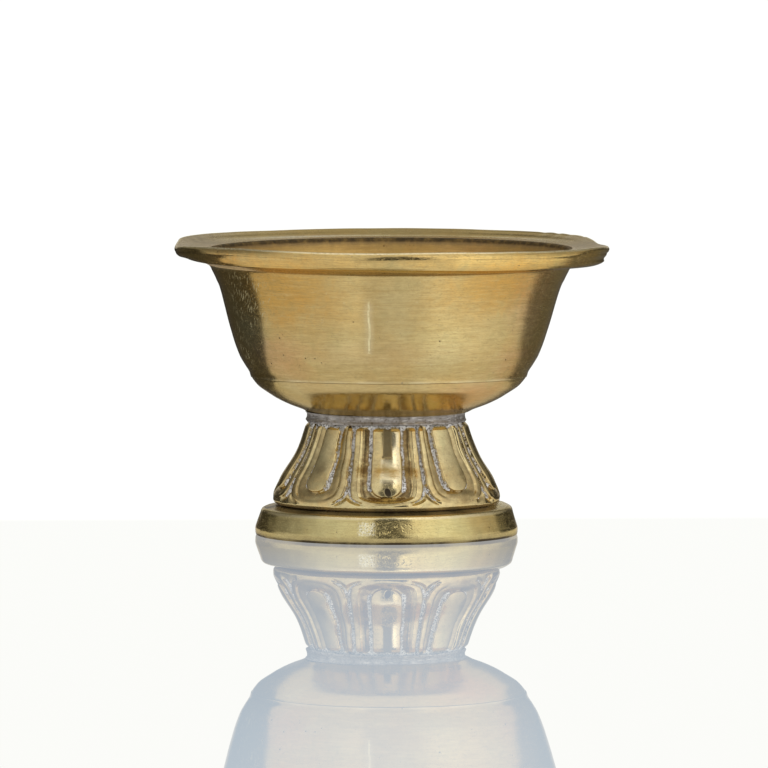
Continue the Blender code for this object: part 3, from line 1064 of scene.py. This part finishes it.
def petals(phi, z):
    """(radial relief, brown staining with painted shade, pale residue, dent) of the chased petals.
    """
    variety = petal_variety()
    wobble = ripple(phi, z, seed=31, waves=16, size=0.014, z_scale=3.5)
    wobble = wobble + ripple(phi * 3, z, seed=36, waves=14, size=0.010, z_scale=1.2)
    bearing = wrapped(phi)
    spread = 2.8 * bell(bearing, -24.0, 13.0) - 0.8 * bell(bearing, 22.0, 12.0)
    spread = smooth(15.0, 33.0, z) * spread
    index, across = petal_place(phi + spread + 25 * wobble)
    across = across + variety.skew[index] * (1 - across * across)
    aside = np.abs(across)
    deep, knee, shut = variety.deep[index], variety.knee[index], variety.shut[index]

    # reach is 0 at the petal's middle line and 1 at its edge, which is round below the shoulder
    length = SHOULDER_Z - PETAL_END_Z - variety.low[index]
    drop = np.maximum(0.0, (SHOULDER_Z - z) / length)
    past_knee = 0.43 + 0.57 * (drop - knee) / (1 - knee)
    drop = np.where(drop < knee, 0.43 * drop / knee, past_knee)
    reach = (aside**2.4 + drop**2.4) ** (1 / 2.4) + 0.5 * wobble
    edge = 0.405 * variety.wide[index]  # reach at the edge of the petal's raised tongue

    # relief from the middle out: tongue, sunk floor, raised ridge, groove between petals
    tongue = 0.18 + 0.46 * np.sqrt(np.clip(1 - (reach / (edge + 0.01)) ** 2, 0, 1))
    floor = -0.95 * deep + 0.62 * smooth(edge + 0.05, 0.70, reach)
    ridge = 0.44 * np.sqrt(np.clip(1 - ((reach - 0.845) / 0.125) ** 2, 0, 1))
    gap = -0.85 * deep + 0.80 * smooth(1.04, 1.15, reach)
    height = tongue * smooth(edge + 0.035, edge - 0.015, reach)
    height = height + floor * smooth(edge - 0.015, edge + 0.035, reach) * smooth(0.78, 0.70, reach)
    height = height + (ridge - 0.02) * smooth(0.70, 0.78, reach) * smooth(1.0, 0.93, reach)
    height = height + gap * smooth(0.93, 0.985, reach)
    # most tongues run out at the bottom instead of being closed by their groove
    open_end = smooth(16.6, 13.6, z) * (1 - shut) * smooth(0.62, 0.30, aside)
    height = height * (1 - open_end) + 0.16 * open_end
    # below its fork each groove soon dies out along the petals' ends
    leg = smooth(0.74, 0.56, aside) * smooth(14.5, 13.2, z) * smooth(0.86, 0.95, reach)
    height = height * (1 - leg) + 0.05 * leg

    inner_groove = bell(reach, edge + 0.058, 0.056) * smooth(14.6, 17.2, z) * (1 - 0.8 * open_end)
    outer_groove = bell(reach, 0.992, 0.048)
    outer_groove = outer_groove * np.maximum(smooth(14.6, 16.0, z), smooth(0.62, 0.74, aside))
    uneven = ripple(phi * 2, z, seed=37, waves=16, size=1.0, z_scale=1.6)
    uneven = 0.62 + 0.38 * smooth(-0.9, 0.9, uneven)
    residue = np.maximum(inner_groove, outer_groove) * smooth(11.6, 13.0, z) * uneven
    in_groove = np.maximum(bell(reach, edge + 0.058, 0.11), bell(reach, 0.992, 0.10))
    drip = 0.45 * ripple(phi * 2, 0.0, seed=38, waves=14, size=0.8)
    residue = np.maximum(residue, 0.80 * smooth(34.8, 36.1, z + drip + 1.5 * in_groove))

    # brown stains low on the petals
    blotch = smooth(0.15, 0.9, ripple(phi * 2, z, seed=45, waves=16, size=1.0, z_scale=2.2))
    blotch = (0.55 - 0.25 * bell(bearing, 0.0, 10.0)) * blotch
    band = smooth(edge + 0.02, edge + 0.08, reach) * smooth(0.80, 0.66, reach)
    # brown in the hollows, staining darkened further with painted shade to deepen the relief, and
    # painted shade along the tongues' edges
    dirt = np.maximum.reduce([
        band * variety.stain[index],
        0.85 * bell(reach, 0.985, 0.085) * smooth(12.4, 15.0, z),
        0.8 * bell(reach, edge + 0.05, 0.075) * smooth(13.5, 16.0, z),
        0.28 * smooth(0.72, 0.80, reach) * smooth(0.97, 0.90, reach),
        0.30 * bell(aside, edge - 0.05, 0.09) * (reach < edge),
        blotch * smooth(27.0, 20.0, z) * smooth(11.0, 12.5, z),
    ])
    # one dark dent near the front petal's end
    dent = bell(bearing + 0.4 * (z - 15.9), 0.6, 1.7) * bell(z, 15.9, 1.35)
    dent = smooth(0.22, 0.42, dent)
    fade_top = smooth(36.0, 34.4, z)
    height = height * fade_top * smooth(10.5, 12.0, z) - 0.10 * dent
    return height, dirt * fade_top, residue, dent


def lotus_foot():
    profile = loop(
        (24.0, 36.6),
        (0.27, [
            (24.2, 36.0), (24.6, 35.3), (25.1, 34.3), (25.8, 32.2), (26.6, 29.9),
            (27.5, 27.7), (28.5, 25.6), (29.7, 23.5), (31.0, 21.5), (32.3, 19.5),
            (33.35, 17.6), (34.15, 15.9), (34.8, 14.3), (35.3, 12.8), (35.6, 11.7),
            (35.6, 10.95), (35.3, 10.4), (34.9, 10.0), (34.3, 9.85),
        ]),
        (1.2, [(32.2, 9.9)]),
        (1.5, [
            (32.15, 14.0), (30.2, 17.8), (27.4, 22.4), (25.0, 26.8), (23.6, 31.0),
            (22.6, 34.2), (21.2, 35.0),
        ]),
        (5.0, [(2.7, 35.0)]),
        (2.0, [(2.7, 37.2)]),
        (3.0, [(9.0, 37.3), (17.0, 37.9), (22.2, 38.45)]),
        (1.0, [(23.95, 38.6)]),
        (1.0, [(24.0, 36.6)]),
    )
    phi, radius, z = spin(profile, 864)
    height, dirt, residue, dent = petals(phi, z)
    outer_limit = np.interp(z, [9.7, 12, 20, 28, 36.7], [33.9, 33.4, 30.2, 25.6, 23.6])
    outer = (radius > outer_limit) & (z < 36.7)
    height = height + ripple(phi, z, seed=9, waves=10, size=0.07, z_scale=4.0)
    height = height + ripple(phi * 3, z, seed=41, waves=14, size=0.018, z_scale=1.6)
    points = to_points(phi, radius + height * outer, z, FOOT_SHIFT)
    foot = lattice("lotus_foot_chased", points, FOOT_BRASS, sharp=60.0)

    # painted shade low on the petals by the cove; inside the foot, staining with painted shade
    add_layer(foot, "dirt", np.where(outer, dirt, 0.75))
    add_layer(foot, "residue", np.where(outer, residue, 0.0))
    add_layer(foot, "painted_shade", np.where(outer, 0.75 * smooth(11.3, 10.3, z), 0.4))
    # the front petal: its dent painted black, a painted dark reflection streak at its top, and a
    # painted highlight beside and below that streak
    bearing = wrapped(phi)
    stain = 0.72 * smooth(-2.9, -2.0, bearing) * smooth(3.3, 2.5, bearing)
    stain = stain * smooth(25.8, 26.9, z) * smooth(36.0, 35.0, z)
    # painted black: the dent, and the dark reflected streak
    add_layer(foot, "hole", np.where(outer, np.maximum(dent, stain), 0.0))
    right_limit = smooth(8.6, 7.6, bearing) * smooth(17.5, 19.5, z)
    beside = smooth(3.0, 3.8, bearing) * smooth(36.0, 35.0, z)
    beneath = smooth(-4.5, -3.0, bearing) * smooth(26.2, 25.4, z)
    painted_shine = right_limit * np.maximum(beside, beneath)
    add_layer(foot, "painted_highlight", np.where(outer, 0.85 * painted_shine, 0.0))
    hand_over(foot, "lotus_foot")


def mark_ring(ring, profile, phi, z):
    """z is the height of every point, once shaped."""
    bearing = wrapped(phi)
    row_radius, row_z = profile.T[:, :, None]
    add_layer(ring, "inside", 0 * z)
    # a painted highlight along the ring's rounded top edge
    add_layer(ring, "painted_highlight", 0.6 * bell(row_radius, 39.35, 0.35) * (row_z > 7.6))

    # painted sparkle: bright spots on the dings in front, and a highlight on the solder dab at the
    # right
    dings = smooth(2.4, 3.4, row_z) * smooth(7.4, 6.4, row_z) * (row_radius > 38)
    dings = dings * smooth(-13.5, -11.5, bearing) * smooth(-4.2, -6.2, bearing)
    dab = smooth(39.3, 37.5, row_radius) * (row_z > 8.3)
    dab = dab * smooth(70, 78, bearing) * smooth(98, 92, bearing)
    add_layer(ring, "painted_glint", 0.85 * dings + 0.9 * dab)

    # painted shade in the cove under the foot and on the shelf beneath it, and a painted contact
    # shadow along the bottom edge; the dab is left clear
    cove = smooth(36.8, 35.2, row_radius) * smooth(8.8, 9.3, row_z)
    foot_edge = 0.30 * smooth(3.0, 1.6, row_z) + 0.70 * smooth(1.0, 0.6, row_z)
    foot_edge = foot_edge * (row_radius > 38)
    shelf = 0.80 * smooth(39.1, 38.4, row_radius) * (row_z > 8.5)
    clear = 1 - 0.9 * bell(bearing, 86.0, 11.0) * smooth(35.3, 36.2, row_radius)
    painted_shade = clear * np.maximum(np.maximum(0.6 * cove, shelf), foot_edge)
    uneven = 1 + 0.25 * ripple(phi * 2, z, seed=72, waves=12, size=1.0, z_scale=2.0)
    add_layer(ring, "painted_shade", painted_shade * uneven)


def base_ring():
    profile = loop(
        (31.8, 13.4),
        (1.5, [(31.85, 9.6)]),
        (0.8, [(34.15, 9.62)]),
        (0.22, [
            (34.8, 9.58), (35.3, 9.46), (35.8, 9.28), (36.6, 9.12), (37.8, 9.0),
            (38.6, 8.85), (39.2, 8.5), (39.55, 7.9), (39.78, 7.1),
        ]),
        (0.3, [(41.15, 3.0)]),
        (0.2, [
            (41.28, 2.5), (41.33, 1.9), (41.3, 1.2), (41.22, 0.5), (41.05, 0.12), (40.6, 0.0)
        ]),
        (1.4, [(36.6, 0.0)]),
        (1.2, [(35.6, 1.2), (34.6, 4.2), (32.2, 6.8), (30.4, 8.6), (30.3, 13.4)]),
        (1.5, [(31.8, 13.4)]),
    )
    phi, radius, z = spin(profile, 720)
    outer = (radius > 33.0) & (z > 0.3)
    uneven = ripple(phi, z, seed=15, waves=12, size=0.05, z_scale=3.0)
    uneven = uneven + ripple(phi * 4, z, seed=16, waves=12, size=0.02, z_scale=1.5)
    radius = radius + uneven * outer
    # the top of the ring rises a little to the right, and a dab of solder fills the cove there
    tilt = 0.25 * np.sin(np.radians(phi)) * smooth(3.0, 8.5, z)
    dab = 1.25 * bell(wrapped(phi), 86.0, 12.0) * smooth(39.4, 36.2, radius) * smooth(8.2, 9.0, z)
    dab = dab * (1 + 0.35 * ripple(phi * 5, 0.0, seed=73, waves=12, size=1.0))
    wave = ripple(phi, 0.0, seed=17, waves=8, size=0.06) * smooth(3.0, 8.0, z)
    z = z + (wave + tilt + dab) * outer
    ring = lattice("base_ring_turned", to_points(phi, radius, z, FOOT_SHIFT), RING_BRASS)
    mark_ring(ring, profile, phi, z)
    hand_over(ring, "base_ring")


def base_solder():
    profile = loop(
        (31.75, 14.5),
        (0.2, [
            (31.8, 13.9), (31.5, 13.75), (30.9, 13.75), (30.75, 13.9), (31.1, 14.3),
            (31.75, 14.5),
        ]),
    )
    phi, radius, z = spin(profile, 360)
    lump = ripple(phi * 4, z, seed=33, waves=12, size=0.05, z_scale=1.0)
    radius = radius - np.abs(lump * smooth(31.6, 31.0, radius))
    fillet = lattice("base_seam_solder_run", to_points(phi, radius, z, FOOT_SHIFT), SOLDER)
    hand_over(fillet, "base_seam_solder")


def rivet():
    floor = STICK_FOOT - 0.3
    bore = 1.35
    shank = 2.4
    profile = outline(
        (0.0, floor),
        (0.5, [(bore, floor)]),
        (0.5, [(bore, SOCKET_TOP - 0.5)]),
        (0.2, [
            (1.45, SOCKET_TOP - 0.15), (1.75, SOCKET_TOP), (2.7, SOCKET_TOP - 0.02),
            (3.1, 46.2), (3.3, 45.8), (3.4, 44.0), (3.5, 42.5), (3.8, 41.6), (4.6, 41.1),
            (6.2, 40.75), (6.8, 40.4), (6.9, 40.05), (6.6, 39.85),
        ]),
        (0.8, [(shank, 39.8)]),
        (0.8, [(shank, 33.7)]),
        (0.4, [
            (4.2, 33.6), (4.5, 33.1), (4.1, 32.3), (3.0, 31.7), (1.5, 31.4), (0.0, 31.3)
        ]),
    )
    phi, radius, z = spin(profile, 96)
    uneven = ripple(phi, z, seed=44, waves=8, size=0.006, z_scale=3.0)
    radius = radius * (1 + uneven * smooth(2.0, 3.0, radius))
    points = to_points(phi, radius, z)
    made = lattice("socket_rivet_turned", points, RIVET_BRASS, closed=False)
    hand_over(made, "socket_rivet")


def washer():
    upper, lower = 34.7, 34.0
    rim, hole = 6.7, 2.75
    profile = loop(
        (rim, upper),
        (0.2, [(6.9, 34.5), (6.9, 34.2), (rim, lower)]),
        (0.8, [(hole, lower)]),
        (0.4, [(hole, upper)]),
        (0.8, [(rim, upper)]),
    )
    phi, radius, z = spin(profile, 96)
    uneven = ripple(phi, z, seed=46, waves=8, size=0.04, z_scale=3.0)
    radius = radius + uneven * smooth(6.0, 6.8, radius)
    made = lattice("rivet_washer_cut", to_points(phi, radius, z), RIVET_BRASS)
    hand_over(made, "rivet_washer")


# ==================================================================================================
# wick
# ==================================================================================================
def wick_stick():
    profile = outline(
        (0.0, STICK_TIP),
        (0.3, [(0.55, STICK_TIP - 0.1), (0.8, STICK_TIP - 0.5)]),
        (1.0, [(0.86, STICK_TIP - 14), (0.92, STICK_FOOT + 10), (0.95, STICK_FOOT + 0.6)]),
        (0.3, [(0.8, STICK_FOOT + 0.1), (0.0, STICK_FOOT)]),
    )
    phi, radius, z = spin(profile, 40)
    oval = np.cos(np.radians(2 * phi))
    flat = 1 - 0.07 * oval - 0.05 * np.abs(oval)
    flat = flat + ripple(phi, z, seed=51, waves=8, size=0.015, z_scale=8.0)
    points = to_points(phi, radius * np.minimum(flat, 1.03), z)
    made = lattice("wick_stick_split", points, BAMBOO, closed=False)
    hand_over(made, "wick_stick", rides="wick")


def cotton_wick():
    """Three strands of cotton twisted round the splint, thinning to a singed tip."""
    skirt = (1.25, COTTON_FOOT + 0.05)  # where the outside turns in to the bore
    bore = 1.15
    profile = outline(
        (0.0, COTTON_TIP),
        (0.25, [
            (0.5, COTTON_TIP - 0.5), (0.95, COTTON_TIP - 2.0), (1.45, 81.0), (1.95, 75.0),
            (2.35, 67.0), (2.35, 58.0), (2.05, 51.8), (1.65, COTTON_FOOT + 1.2),
            (1.45, COTTON_FOOT + 0.2), skirt,
        ]),
        (0.8, [(bore, COTTON_FOOT + 0.4), (bore, STICK_TIP + 0.1)]),
        (0.4, [(0.9, STICK_TIP + 0.6), (0.0, STICK_TIP + 0.9)]),
    )
    phi, radius, z = spin(profile, 192)
    skirt_row = np.argmin(np.abs(profile - skirt).sum(axis=1))
    outside = np.arange(len(profile))[:, None] < skirt_row
    strand = np.abs(np.cos((np.radians(3 * phi) + z * 1.05) / 2))
    fibre = ripple(phi * 3 + z * 60, z, seed=61, waves=12, size=0.035, z_scale=1.4)
    fibre = fibre + ripple(phi * 8 + z * 60, z, seed=62, waves=10, size=0.02, z_scale=0.8)
    relief = (0.42 * strand**0.6 - 0.22 + fibre) * smooth(0.0, 1.6, radius)
    points = to_points(phi, radius + np.where(outside, relief, 0.0), z)
    made = lattice("cotton_wick_twist", points, COTTON, closed=False, sharp=75.0)
    add_layer(made, "twist", strand[1:-1])
    hand_over(made, "cotton_wick", rides="wick")


# ==================================================================================================
# studio: a strip of white gloss sheet, a white backdrop, and two soft panels in front with a gap
# at the camera
# ==================================================================================================
# the gap between the panels, by elevation in degrees: (elevation, half width) and
# (elevation, bearing of its middle)
GAP_HALF = [(-90, 17.5), (35, 17.5), (41, 9.0), (50, 12.0), (59, 17.0), (90, 17.0)]
GAP_MIDDLE = [(-90, 4.6), (27, 4.6), (40, 2.6), (90, 1.5)]
# the panels' brightness, low down and high up: (bearing, brightness)
RIGHT_LOW = [
    (-180, 0), (2, 0), (3, 1.2), (45, 1.24), (75, 1.0), (99, 0.86), (113, 0.72), (118, 0.55),
    (123, 0.06), (180, 0.06),
]
LEFT_LOW = [
    (-180, 0.06), (-124, 0.06), (-118, 0.28), (-111, 0.50), (-98, 0.74), (-60, 0.82),
    (-41, 0.86), (2, 0.86), (3, 0), (180, 0),
]
RIGHT_HIGH = [
    (-180, 0), (2, 0), (3, 1.2), (45, 1.22), (62, 1.10), (78, 0.88), (92, 0.70), (106, 0.58),
    (122, 0.42), (140, 0.24), (152, 0.18), (162, 0.06), (180, 0.06),
]
LEFT_HIGH = [
    (-180, 0.06), (-162, 0.06), (-152, 0.16), (-140, 0.18), (-122, 0.22), (-104, 0.30),
    (-88, 0.46), (-70, 0.66), (-54, 0.80), (-41, 0.86), (2, 0.86), (3, 0), (180, 0),
]
# the backdrop: (elevation, brightness)
BACKDROP = [
    (-90, 0.52), (17, 0.52), (20, 0.95), (23, 0.95), (27, 0.54), (45, 0.42), (90, 0.3)
]
# the sheet's back edge as the brass sees it: (x, y)
SHEET_EDGE = [
    (-250, 22), (-180, 24), (-140, 27), (-94, 33), (-76, 44), (-64, 58), (-50, 78), (0, 90),
    (55, 95), (80, 84), (97, 50), (130, 54), (180, 48), (230, 55),
]
# the sheet's brightness, away from the lamp and close to it: (bearing, brightness)
SHEET_FAR = [
    (-180, 0.5), (-125, 0.64), (-92, 0.72), (-72, 0.79), (-57, 0.81), (-40, 0.82),
    (-26, 0.95), (-20, 0.99), (-17, 0.78), (-10, 0.75), (5, 0.83), (17, 0.85), (23, 0.98),
    (29, 1.09), (36, 1.14), (51, 1.09), (68, 1.0), (86, 0.90), (105, 0.79), (125, 0.70),
    (180, 0.5),
]
SHEET_CLOSE = [(-180, 0.6), (-90, 0.86), (0, 0.88), (45, 1.0), (90, 0.92), (180, 0.6)]
# how much green and blue the sheet's mirror image keeps: (y, share)
MIRROR_GREEN = [(-600, 0.865), (-160, 0.935), (-48, 1.0), (0, 1.0)]
MIRROR_BLUE = [(-600, 0.68), (-160, 0.80), (-48, 0.96), (0, 0.96)]
SHEET_WHITE = (0.958, 0.962, 0.935)


def bearing_of(x, y):
    """Degrees from -Y, positive towards +X."""
    return x.math("ARCTAN2", y * -1.0) * DEGREES


def panel_light(bearing, elevation):
    """Panels brighter on the right, fading outwards; the gap between them narrows upwards."""
    half = elevation.curve(GAP_HALF)
    off = abs(bearing - elevation.curve(GAP_MIDDLE))
    gap = (off - half).fall(-1.0, 1.0) * elevation.fall(57.0, 62.0)
    high = elevation.rise(9.0, 14.0)
    right, left = [
        bearing.curve(below) * (1.0 - high) + bearing.curve(above) * high
        for below, above in ((RIGHT_LOW, RIGHT_HIGH), (LEFT_LOW, LEFT_HIGH))
    ]
    edge = bearing.between(9.0, 26.0, soft=6.0) * elevation.rise(37.0, 44.0, end=0.55)
    panels = (right + left + edge) * (1.0 - gap)
    return panels + gap * elevation.rise(8.0, 34.0, start=0.07, end=0.17)


def build_world():
    world = bpy.data.worlds.new("studio")
    bpy.context.scene.world = world
    world.use_nodes = True
    tree = world.node_tree
    x, y, z = wire(tree, "ShaderNodeTexCoord", None, "Generated").split()
    bearing = bearing_of(x, y)
    side = abs(bearing)
    elevation = z.math("ARCSINE") * DEGREES

    backdrop = elevation.curve(BACKDROP)
    around = panel_light(bearing, elevation) + side.rise(158.0, 170.0) * backdrop
    roof = elevation.rise(48.0, 66.0) * side.fall(95.0, 150.0, end=0.7)
    total = around * (1.0 - roof) + roof * side.rise(90.0, 130.0, start=1.02, end=0.70)
    total = total * elevation.rise(-1.0, 1.0, start=0.3)

    # the camera sees plain white; the backdrop's brightest band is cool
    path = add_node(tree, "ShaderNodeLightPath").outputs
    camera_ray = Wire(tree, path["Is Camera Ray"])
    seen = camera_ray.math("MAXIMUM", Wire(tree, path["Is Singular Ray"]))
    cool = side.rise(158.0, 170.0) * elevation.between(17.0, 28.0, soft=2.0) * 0.10
    lit = combine(total * (1.0 - cool), total, total * (1.0 + cool * 1.5))
    background = tree.nodes["Background"]
    plug(tree, background.inputs["Color"], mix(seen, lit, (1.02, 1.02, 1.02)))
    background.inputs["Strength"].default_value = 1.0


def sheet_for_brass(x, y):
    """What the brass sees: a white sheet that ends just behind the lamp, lit unevenly."""
    bearing = bearing_of(x, y)
    away = (x * x + y * y).math("SQRT")
    beyond = (y - x.curve(SHEET_EDGE)).rise(-1.0, 1.0)
    line = bearing.between(-19.6, -17.9, soft=0.5) * away.rise(98.0, 112.0, end=0.35)
    far = bearing.curve(SHEET_FAR) + line
    close = bearing.curve(SHEET_CLOSE)
    level = far * away.rise(88.0, 118.0) + close * away.fall(88.0, 118.0)
    # painted shadow round the foot, and the light fading far off
    level = level * (away.rise(37.0, 52.0, start=0.42) * away.fall(350.0, 900.0, end=0.55))
    dark = x.rise(-60.0, 90.0, start=0.13, end=0.26)
    dark = dark + x.between(-72.0, -15.0, soft=10.0) * (y.rise(230.0, 260.0) * 0.55)
    level = level * ((1.0 - beyond) * (1.0 - dark) + dark)
    return wire(x.tree, "ShaderNodeEmission", {"Color": combine(level, level, level)})


def sheet_for_camera(x, y):
    """What the camera sees: white, with a pale mirror image that weakens towards the front."""
    tree = x.tree
    fresnel = wire(tree, "ShaderNodeFresnel", {"IOR": 1.5})
    weaken = y.rise(-720.0, -40.0, start=0.88, end=1.08, kind="LINEAR")
    share = (fresnel * weaken).math("MINIMUM", 0.7)
    horizon = (y - (x * 0.04 + 57.0)).rise(-7.0, 7.0, end=0.065)
    # dust on the sheet yellows the image, more so towards the front
    tint = (1.0, y.curve(MIRROR_GREEN), y.curve(MIRROR_BLUE))
    image = combine(*[share * part for part in tint])
    mirror = wire(tree, "ShaderNodeBsdfGlossy", {"Roughness": 0.0, "Color": image})
    white = [level + horizon for level in SHEET_WHITE]
    rest = combine(*[level - share * part for level, part in zip(white, tint)])
    glow = wire(tree, "ShaderNodeEmission", {"Color": rest})
    return wire(tree, "ShaderNodeAddShader", {0: mirror, 1: glow})


def build_floor():
    size, z = 12.0, -0.00005
    corners = [(-size, -size, z), (size, -size, z), (size, size, z), (-size, size, z)]
    mesh = bpy.data.meshes.new("floor_sheet")
    mesh.from_pydata(corners, [], [(0, 1, 2, 3)])
    mesh.update()
    floor = bpy.data.objects.new("floor_sheet", mesh)
    bpy.context.scene.collection.objects.link(floor)
    material, tree = new_material("white_gloss_sheet")
    mesh.materials.append(material)
    tree.nodes.remove(tree.nodes["Principled BSDF"])

    x, y, _ = wire(tree, "ShaderNodeTexCoord", None, "Object").split()
    x, y = x * 1000.0, y * 1000.0
    camera_ray = wire(tree, "ShaderNodeLightPath", None, "Is Camera Ray")
    shaders = {0: camera_ray, 1: sheet_for_brass(x, y), 2: sheet_for_camera(x, y)}
    chosen = wire(tree, "ShaderNodeMixShader", shaders)
    plug(tree, tree.nodes["Material Output"].inputs["Surface"], chosen)


def build_camera():
    x = -0.00080
    place = Vector((x, -3.47, 0.297))
    aim = Vector((x, 0.0, 0.0474))
    view_width = 0.2418  # across the picture at the aim
    sensor_width = 36.0
    data = bpy.data.cameras.new("camera")
    camera = bpy.data.objects.new("camera", data)
    bpy.context.scene.collection.objects.link(camera)
    camera.location = place
    camera.rotation_mode = "QUATERNION"
    camera.rotation_quaternion = (aim - place).to_track_quat("-Z", "Y")
    data.sensor_width = sensor_width
    data.lens = sensor_width * (aim - place).length / view_width
    data.clip_start, data.clip_end = 0.1, 100.0
    bpy.context.scene.camera = camera


bowl_wall()
bowl_pan()
seam_braze()
neck_solder()
lotus_foot()
base_ring()
base_solder()
rivet()
washer()
wick_stick()
cotton_wick()

build_world()
build_floor()
build_camera()
bpy.context.scene.view_settings.view_transform = "Standard"
